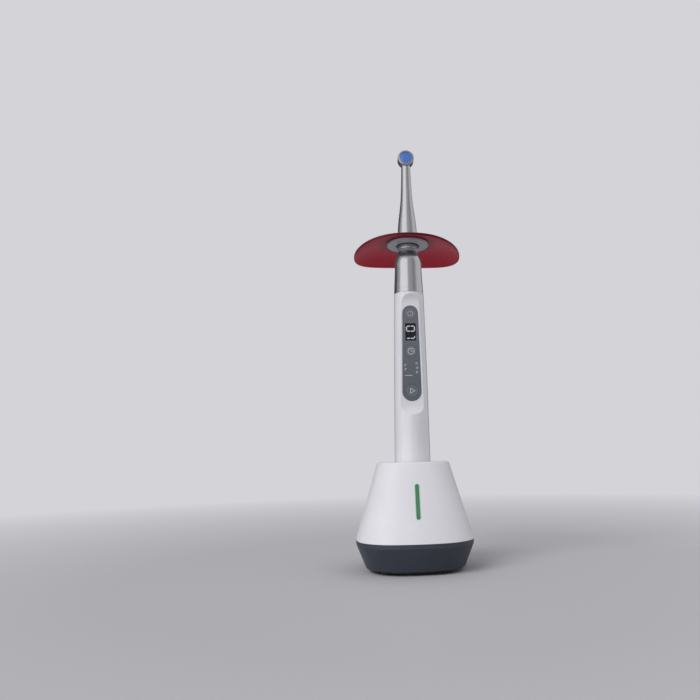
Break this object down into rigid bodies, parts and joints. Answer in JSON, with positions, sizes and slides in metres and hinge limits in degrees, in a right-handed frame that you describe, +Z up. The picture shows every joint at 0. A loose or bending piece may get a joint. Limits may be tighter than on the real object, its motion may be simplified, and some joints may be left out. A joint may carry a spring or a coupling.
{
  "type": "dental curing light",
  "caption": "Pen-shaped curing light with a small turning light head and a round red shield, standing in a charging base with a light bar.",
  "frame": {"origin": "middle of the base, in the plane that its feet stand on", "axes": "+Z up along the handpiece, the key panel and the light bar face -Y, +X to the right seen from the front"},
  "size_m": [0.0736, 0.0736, 0.2806],
  "materials": {
    "white_cover": "smooth satin moulded",
    "white_handle": "smooth satin moulded",
    "slate_tray": "fine matt texture",
    "well_plastic": "smooth moulded",
    "green_guide": "translucent light guide, softly lit",
    "circuit_board": "solder mask",
    "black_plastic": "moulded",
    "gold_contact": "gold plated",
    "spring_steel": "drawn wire",
    "screw_steel": "zinc plated",
    "ballast_steel": "plain plate",
    "rubber": "soft matt",
    "led_white": "led package",
    "cell_sleeve": "shrink sleeve",
    "panel_grey": "matt film",
    "key_grey": "matt film",
    "display_black": "gloss",
    "window_clear": "smoked clear",
    "digit_glow": "lit segment",
    "copper": "bare copper",
    "polished_aluminium": "polished, turned",
    "bronze": "sintered bush",
    "ring_black": "gloss black seal",
    "head_metal": "polished",
    "lens_glass": "clear blue lens",
    "reflector_mirror": "vacuum metallised",
    "wire_sheath": "insulated lead",
    "grommet_silicone": "soft silicone",
    "shield_red": "dark red translucent sheet"
  },
  "bodies": {
    "base": {"base_cover": "white_cover", "base_tray": "slate_tray", "charging_well": "well_plastic", "light_bar": "green_guide", "indicator_board": "circuit_board", "indicator_leds": "led_white", "charge_board": "circuit_board", "board_screws": "screw_steel", "pin_block": "black_plastic", "left_pin_spring": "spring_steel", "right_pin_spring": "spring_steel", "power_socket": "black_plastic", "ballast_plate": "ballast_steel", "tray_screws": "screw_steel", "rubber_feet": "rubber"},
    "left_pin": {"left_charge_pin": "gold_contact"},
    "right_pin": {"right_charge_pin": "gold_contact"},
    "handpiece": {"handle_shell": "white_handle", "tail_cap": "white_handle", "tail_seal": "rubber", "tail_board": "circuit_board", "charge_pads": "gold_contact", "battery_spring": "spring_steel", "battery_cell": "cell_sleeve", "cell_contact": "screw_steel", "chassis": "black_plastic", "main_board": "circuit_board", "board_rivets": "black_plastic", "processor_chip": "black_plastic", "drive_inductor": "black_plastic", "buzzer": "black_plastic", "key_switches": "black_plastic", "key_panel": "panel_grey", "display_window": "window_clear", "display_module": "display_black", "display_digits": "digit_glow", "contact_socket": "black_plastic", "nose_cone": "polished_aluminium", "swivel_bush": "bronze", "swivel_seal": "ring_black"},
    "power_button": {"power_key": "key_grey", "power_plunger": "black_plastic"},
    "timer_button": {"timer_key": "key_grey", "timer_plunger": "black_plastic"},
    "start_button": {"start_key": "key_grey", "start_plunger": "black_plastic"},
    "light_head": {"head_tube": "polished_aluminium", "tube_collar": "polished_aluminium", "retaining_clip": "spring_steel", "contact_plug": "gold_contact", "lead_wires": "wire_sheath", "heat_rod": "copper", "head_housing": "head_metal", "bezel_ring": "polished_aluminium", "lens": "lens_glass", "reflector": "reflector_mirror", "led_board": "copper", "led_dies": "led_white"},
    "grommet": {"shield_grommet": "grommet_silicone"},
    "shield": {"shield_plate": "shield_red"}
  },
  "joints": [
    {"name": "handpiece_lift", "type": "slide", "parent": "base", "child": "handpiece", "axis": [0, 0, 1], "range_m": [0, 0.055]},
    {"name": "head_swivel", "type": "hinge", "parent": "handpiece", "child": "light_head", "pos_m": [0, 0, 0.2], "axis": [0, 0, 1], "continuous": true},
    {"name": "shield_lift", "type": "slide", "parent": "light_head", "child": "grommet", "axis": [0, 0, 1], "range_m": [0, 0.075]},
    {"name": "shield_turn", "type": "hinge", "parent": "grommet", "child": "shield", "pos_m": [0, 0, 0.214], "axis": [0, 0, 1], "continuous": true},
    {"name": "power_press", "type": "slide", "parent": "handpiece", "child": "power_button", "axis": [0, 1, 0], "range_m": [0, 0.00035], "stiffness_N_per_m": 500},
    {"name": "timer_press", "type": "slide", "parent": "handpiece", "child": "timer_button", "axis": [0, 1, 0], "range_m": [0, 0.00035], "stiffness_N_per_m": 500},
    {"name": "start_press", "type": "slide", "parent": "handpiece", "child": "start_button", "axis": [0, 1, 0], "range_m": [0, 0.00035], "stiffness_N_per_m": 500},
    {"name": "left_pin_press", "type": "slide", "parent": "base", "child": "left_pin", "axis": [0, 0, -1], "range_m": [0, 0.0008], "stiffness_N_per_m": 300, "deforming": ["left_pin_spring"]},
    {"name": "right_pin_press", "type": "slide", "parent": "base", "child": "right_pin", "axis": [0, 0, -1], "range_m": [0, 0.0008], "stiffness_N_per_m": 300, "deforming": ["right_pin_spring"]}
  ]
}
